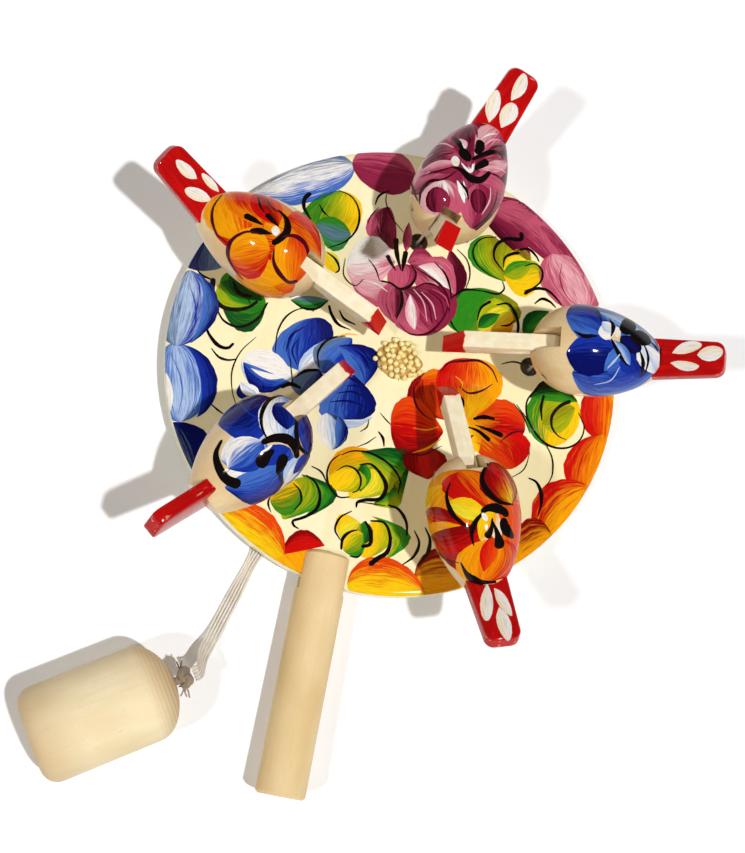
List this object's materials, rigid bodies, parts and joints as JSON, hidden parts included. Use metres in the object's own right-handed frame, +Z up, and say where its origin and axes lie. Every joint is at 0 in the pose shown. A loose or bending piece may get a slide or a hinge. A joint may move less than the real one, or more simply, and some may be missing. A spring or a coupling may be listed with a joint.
{
  "type": "pecking chickens toy",
  "caption": "Round painted wooden board on a handle, with hens whose pinned necks are pulled up and dropped by cords that run through the board to one turned wooden weight.",
  "frame": {"origin": "on the table that the toy lies on, below the centre of the box of the board, handle and hens", "axes": "+Z up from the table, -Y the way the handle points, +X to the right of the board seen from the handle's end; the board leans 1.9 degrees towards +Y, because the handle is thicker than the board"},
  "size_m": [0.175, 0.2357, 0.0594],
  "materials": {
    "board_paint": "cream ground with brushed flowers, petals and leaves under clear gloss varnish",
    "bare_wood": "pale turned wood, fine grain, unpainted and lightly sanded",
    "neck_wood": "pale sawn wood, varnished, with the top of the neck and the beak painted red",
    "blue_paint": "blue brushed petals on varnished wood",
    "plum_paint": "plum and pink brushed petals on varnished wood",
    "orange_paint": "orange and yellow brushed petals on varnished wood",
    "red_paint": "red and orange brushed petals on varnished wood",
    "tail_paint": "glossy red with cream strokes, the slat's edges in pale wood",
    "nail_steel": "plain steel wire nail, cut flush",
    "cotton": "off-white twisted cotton cord",
    "grain": "golden millet grains set in clear glue"
  },
  "bodies": {
    "board_and_hens": {"board": "board_paint", "handle": "bare_wood", "grain_heap": "grain", "hen1_body": "blue_paint", "hen1_leg": "bare_wood", "hen1_tail": "tail_paint", "hen1_pin": "nail_steel", "hen1_pull_cord": "cotton", "hen1_lead_cord": "cotton", "hen2_body": "plum_paint", "hen2_leg": "bare_wood", "hen2_tail": "tail_paint", "hen2_pin": "nail_steel", "hen2_pull_cord": "cotton", "hen2_lead_cord": "cotton", "hen3_body": "orange_paint", "hen3_leg": "bare_wood", "hen3_tail": "tail_paint", "hen3_pin": "nail_steel", "hen3_pull_cord": "cotton", "hen3_lead_cord": "cotton", "hen4_body": "blue_paint", "hen4_leg": "bare_wood", "hen4_tail": "tail_paint", "hen4_pin": "nail_steel", "hen4_pull_cord": "cotton", "hen4_lead_cord": "cotton", "hen5_body": "red_paint", "hen5_leg": "bare_wood", "hen5_tail": "tail_paint", "hen5_pin": "nail_steel", "hen5_pull_cord": "cotton", "hen5_lead_cord": "cotton"},
    "hen1_neck": {"hen1_neck": "neck_wood"},
    "hen2_neck": {"hen2_neck": "neck_wood"},
    "hen3_neck": {"hen3_neck": "neck_wood"},
    "hen4_neck": {"hen4_neck": "neck_wood"},
    "hen5_neck": {"hen5_neck": "neck_wood"},
    "weight": {"weight": "bare_wood", "cord_knot": "cotton"}
  },
  "joints": [
    {"name": "hen1_peck", "type": "hinge", "parent": "board_and_hens", "child": "hen1_neck", "pos_m": [0.03688, 0.03518, 0.03283], "axis": [-0.1788, 0.9833, -0.033], "range_deg": [-17, 95], "deforming": ["hen1_pull_cord"]},
    {"name": "hen2_peck", "type": "hinge", "parent": "board_and_hens", "child": "hen2_neck", "pos_m": [-0.00359, 0.06044, 0.03187], "axis": [-0.9806, 0.1743, 0.09], "range_deg": [-68, 11], "deforming": ["hen2_pull_cord"]},
    {"name": "hen3_peck", "type": "hinge", "parent": "board_and_hens", "child": "hen3_neck", "pos_m": [-0.03783, 0.03385, 0.03278], "axis": [-0.2241, -0.973, -0.0545], "range_deg": [-17, 95], "deforming": ["hen3_pull_cord"]},
    {"name": "hen4_peck", "type": "hinge", "parent": "board_and_hens", "child": "hen4_neck", "pos_m": [-0.02969, -0.01059, 0.03437], "axis": [0.8763, -0.4815, 0.0162], "range_deg": [-17, 95], "deforming": ["hen4_pull_cord"]},
    {"name": "hen5_peck", "type": "hinge", "parent": "board_and_hens", "child": "hen5_neck", "pos_m": [0.02411, -0.00874, 0.03431], "axis": [0.9164, 0.4001, -0.0134], "range_deg": [-17, 95], "deforming": ["hen5_pull_cord"]},
    {"name": "weight_swing", "type": "hinge", "parent": "board_and_hens", "child": "weight", "pos_m": [-0.02486, -0.04544, 0], "axis": [0, 0, 1], "range_deg": [-35, 18], "deforming": ["hen1_lead_cord", "hen2_lead_cord", "hen3_lead_cord", "hen4_lead_cord", "hen5_lead_cord"]}
  ]
}
